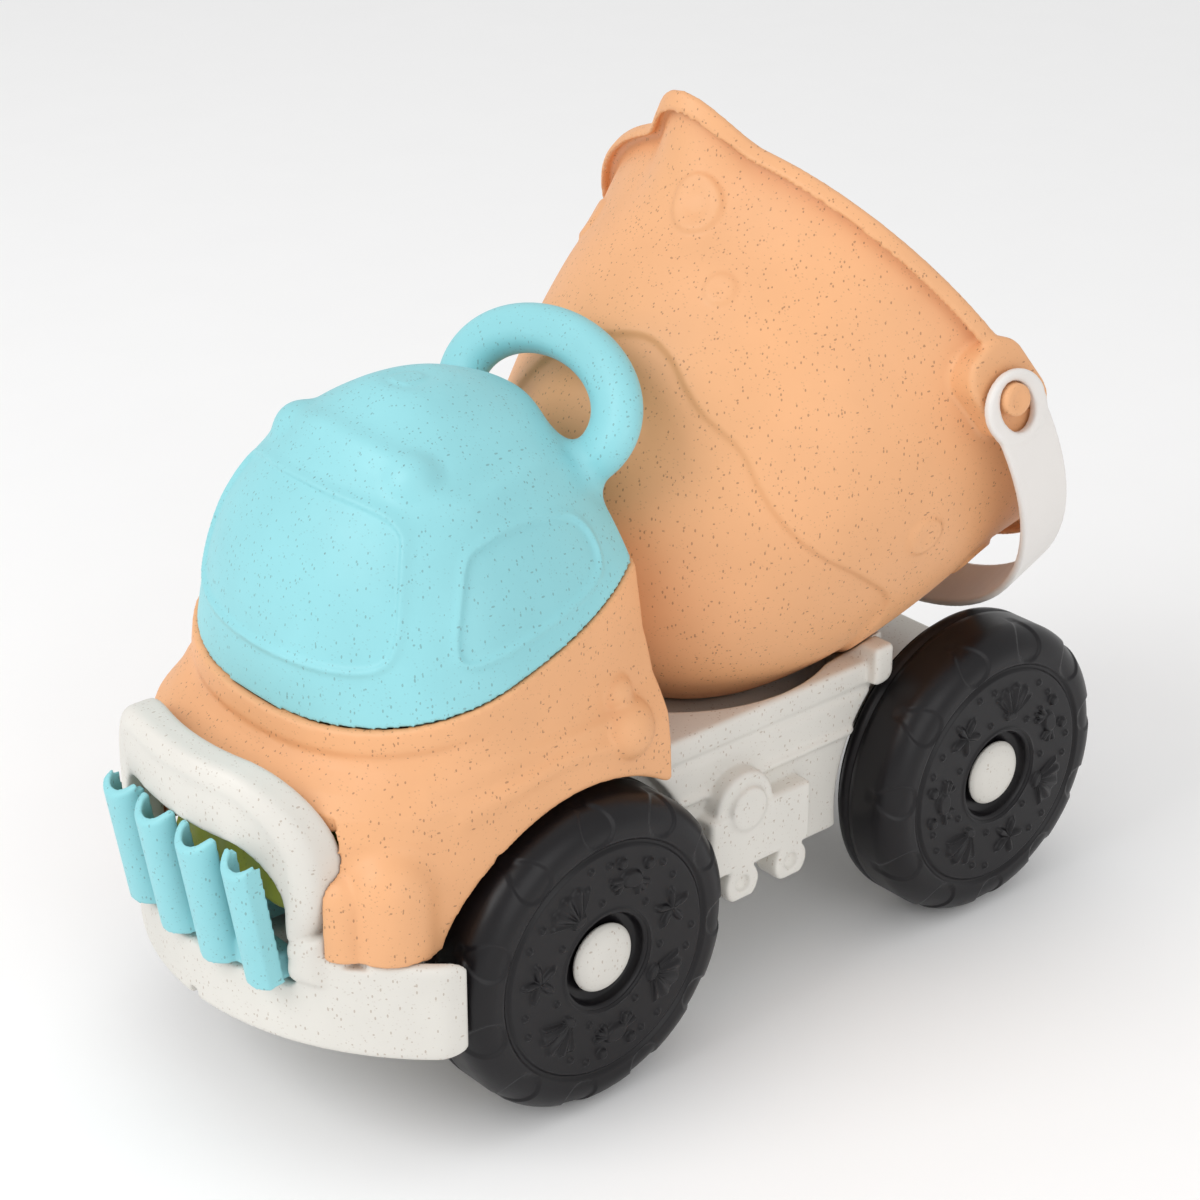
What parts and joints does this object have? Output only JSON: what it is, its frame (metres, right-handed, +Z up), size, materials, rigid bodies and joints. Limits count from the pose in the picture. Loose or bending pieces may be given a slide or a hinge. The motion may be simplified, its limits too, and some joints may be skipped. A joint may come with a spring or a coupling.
{
  "type": "toy cement mixer",
  "caption": "Sand-play toy cement mixer truck with a lift-out pail as the drum, a lift-off scoop as the cab roof, a stored rake and mould, and free-rolling wheels.",
  "frame": {"origin": "on the ground under the middle of the truck's bounding box", "axes": "+X points forward out of the grille, +Y to the truck's left, +Z up"},
  "size_m": [0.2882, 0.1762, 0.2458],
  "materials": {
    "peach_plastic": "satin speckled",
    "blue_plastic": "satin speckled",
    "offwhite_plastic": "satin speckled",
    "black_plastic": "satin",
    "strap_plastic": "satin",
    "olive_plastic": "satin",
    "axle_steel": "brushed"
  },
  "bodies": {
    "root": {"chassis": "offwhite_plastic", "cab_shell": "peach_plastic", "bumper_grille": "offwhite_plastic", "sand_mould": "olive_plastic", "front_axle": "axle_steel", "rear_axle": "axle_steel", "hub_cap_front_left": "offwhite_plastic", "hub_cap_front_right": "offwhite_plastic", "hub_cap_rear_left": "offwhite_plastic", "hub_cap_rear_right": "offwhite_plastic"},
    "wheel_front_left": {"wheel_shell_front_left": "black_plastic", "wheel_back_front_left": "black_plastic"},
    "wheel_front_right": {"wheel_shell_front_right": "black_plastic", "wheel_back_front_right": "black_plastic"},
    "wheel_rear_left": {"wheel_shell_rear_left": "black_plastic", "wheel_back_rear_left": "black_plastic"},
    "wheel_rear_right": {"wheel_shell_rear_right": "black_plastic", "wheel_back_rear_right": "black_plastic"},
    "roof": {"roof_scoop": "blue_plastic"},
    "pail": {"pail_drum": "peach_plastic"},
    "bail": {"pail_bail": "strap_plastic"},
    "rake": {"sand_rake": "blue_plastic"}
  },
  "joints": [
    {"name": "front_left_spin", "type": "hinge", "parent": "root", "child": "wheel_front_left", "pos_m": [0.05192, 0.0576, 0.045], "axis": [0, 1, 0], "continuous": true},
    {"name": "front_right_spin", "type": "hinge", "parent": "root", "child": "wheel_front_right", "pos_m": [0.05192, -0.0576, 0.045], "axis": [0, 1, 0], "continuous": true},
    {"name": "rear_left_spin", "type": "hinge", "parent": "root", "child": "wheel_rear_left", "pos_m": [-0.09907, 0.0576, 0.045], "axis": [0, 1, 0], "continuous": true},
    {"name": "rear_right_spin", "type": "hinge", "parent": "root", "child": "wheel_rear_right", "pos_m": [-0.09907, -0.0576, 0.045], "axis": [0, 1, 0], "continuous": true},
    {"name": "roof_lift", "type": "slide", "parent": "root", "child": "roof", "axis": [0, 0, 1], "range_m": [0, 0.09]},
    {"name": "pail_lift", "type": "slide", "parent": "root", "child": "pail", "axis": [-0.83, 0, 0.5577], "range_m": [0, 0.14]},
    {"name": "bail_swing", "type": "hinge", "parent": "pail", "child": "bail", "pos_m": [-0.08619, 0, 0.16], "axis": [0.1064, 0.9816, 0.1584], "range_deg": [0, 150]},
    {"name": "rake_slide", "type": "slide", "parent": "root", "child": "rake", "axis": [1, 0, 0], "range_m": [0, 0.12]}
  ]
}
